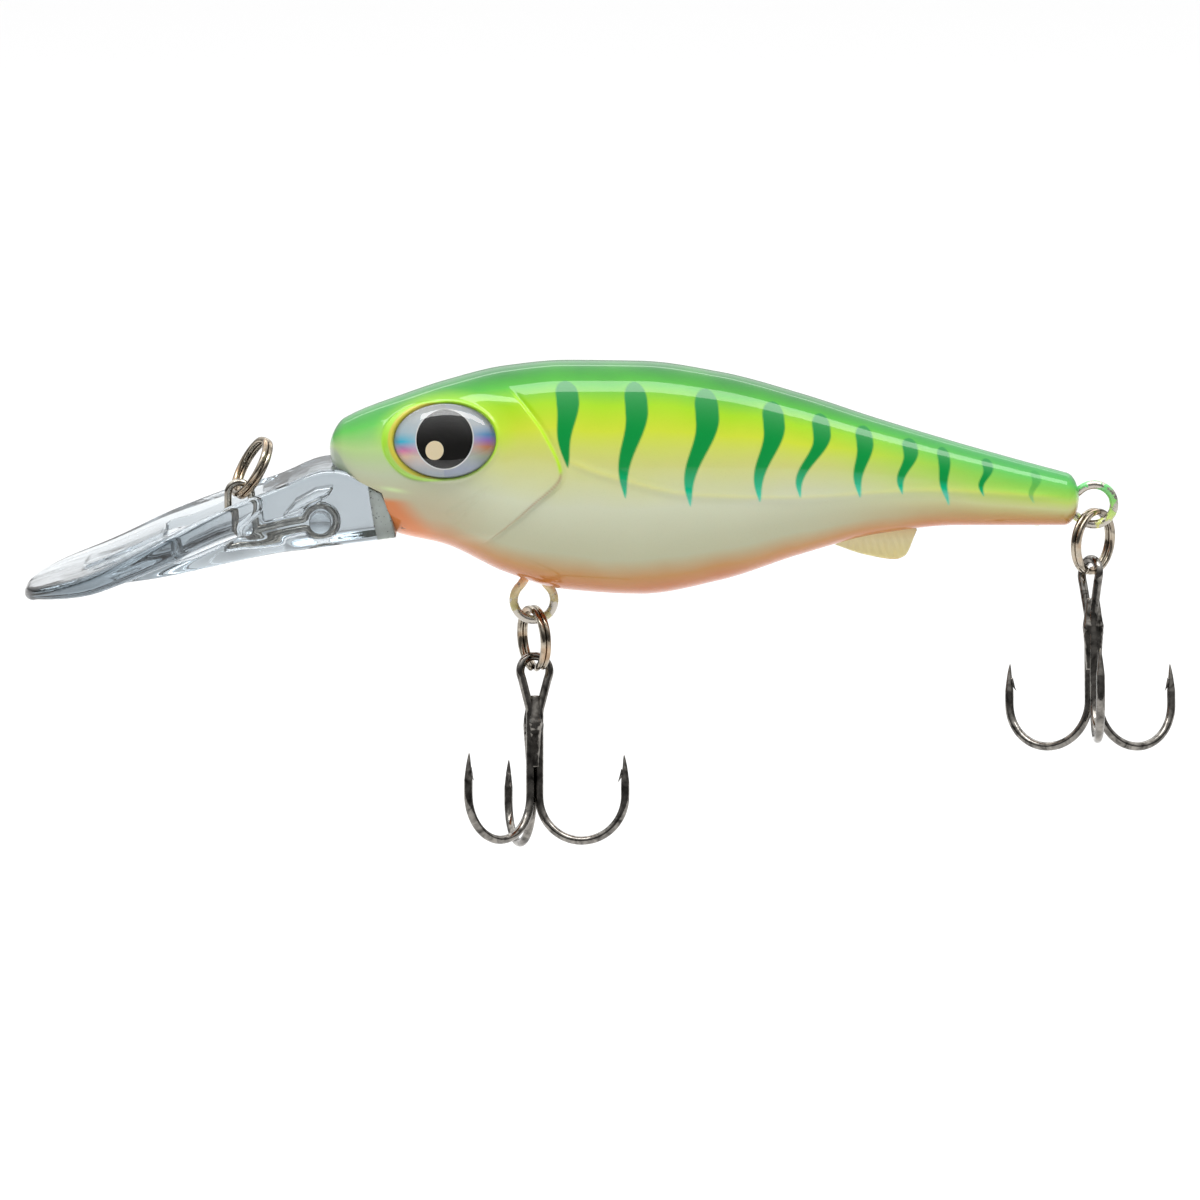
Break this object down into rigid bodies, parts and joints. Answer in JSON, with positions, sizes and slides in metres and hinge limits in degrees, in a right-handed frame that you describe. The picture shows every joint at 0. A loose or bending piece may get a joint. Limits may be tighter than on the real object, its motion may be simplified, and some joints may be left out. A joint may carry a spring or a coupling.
{
  "type": "crankbait lure",
  "caption": "Deep-diving hard-bodied fishing lure with a clear diving lip, glued hollow body shells, wire hangers, split rings and swinging treble hooks.",
  "frame": {"origin": "centre of the line-tie wire's arch, where the fishing line pulls", "axes": "+X from nose to tail, +Y to the lure's right side, +Z from belly to back"},
  "size_m": [0.1239, 0.0233, 0.0538],
  "materials": {
    "painted_abs": "gloss",
    "clear_polycarbonate": "gloss",
    "clear_adhesive": "gloss",
    "stainless_wire": "polished",
    "nickel_wire": "polished",
    "black_nickel": "polished",
    "eye_foil": "gloss",
    "eye_epoxy": "gloss",
    "ballast_metal": "matte",
    "rattle_steel": "polished"
  },
  "bodies": {
    "lure_body": {"left_body_shell": "painted_abs", "right_body_shell": "painted_abs", "diving_lip": "clear_polycarbonate", "lip_cross_pin": "clear_polycarbonate", "lip_adhesive": "clear_adhesive", "line_tie_wire": "stainless_wire", "belly_hook_hanger": "stainless_wire", "tail_hook_hanger": "stainless_wire", "left_eye_foil": "eye_foil", "right_eye_foil": "eye_foil", "left_eye_dome": "eye_epoxy", "right_eye_dome": "eye_epoxy", "belly_ballast": "ballast_metal"},
    "line_ring": {"line_tie_ring": "nickel_wire"},
    "front_ring": {"front_split_ring": "nickel_wire"},
    "front_treble": {"front_treble_double_hook": "black_nickel", "front_treble_single_hook": "black_nickel", "front_treble_braze": "black_nickel"},
    "rear_ring": {"rear_split_ring": "nickel_wire"},
    "rear_treble": {"rear_treble_double_hook": "black_nickel", "rear_treble_single_hook": "black_nickel", "rear_treble_braze": "black_nickel"},
    "ball_front": {"rattle_ball_1": "rattle_steel"},
    "ball_middle": {"rattle_ball_2": "rattle_steel"},
    "ball_rear": {"rattle_ball_3": "rattle_steel"}
  },
  "joints": [
    {"name": "line_ring_swing", "type": "hinge", "parent": "lure_body", "child": "line_ring", "pos_m": [0.00005, -0.00018, -0.00011], "axis": [-0.8353, -0.2261, 0.5012], "range_deg": [-14, 6]},
    {"name": "front_ring_swing", "type": "hinge", "parent": "lure_body", "child": "front_ring", "pos_m": [0.0315, 0, -0.01388], "axis": [0.9171, 0.3987, 0], "range_deg": [-40, 60]},
    {"name": "front_treble_swing", "type": "hinge", "parent": "front_ring", "child": "front_treble", "pos_m": [0.0315, 0, -0.01921], "axis": [-0.3987, 0.9171, 0], "range_deg": [-60, 60]},
    {"name": "rear_ring_swing", "type": "hinge", "parent": "lure_body", "child": "rear_ring", "pos_m": [0.0915, 0, -0.00337], "axis": [0.788, -0.6157, 0], "range_deg": [-15, 20]},
    {"name": "rear_treble_swing", "type": "hinge", "parent": "rear_ring", "child": "rear_treble", "pos_m": [0.0915, 0, -0.00851], "axis": [0.6157, 0.788, 0], "range_deg": [-60, 60]},
    {"name": "ball_front_roll", "type": "slide", "parent": "lure_body", "child": "ball_front", "axis": [1, 0, 0], "range_m": [-0.0004, 0.0006]},
    {"name": "ball_middle_roll", "type": "slide", "parent": "lure_body", "child": "ball_middle", "axis": [1, 0, 0], "range_m": [-0.0004, 0.0006]},
    {"name": "ball_rear_roll", "type": "slide", "parent": "lure_body", "child": "ball_rear", "axis": [1, 0, 0], "range_m": [-0.0004, 0.0006]}
  ],
  "couplings": [
    {"joint": "ball_middle_roll", "follows": "ball_front_roll", "ratio": 1},
    {"joint": "ball_rear_roll", "follows": "ball_front_roll", "ratio": 1}
  ]
}
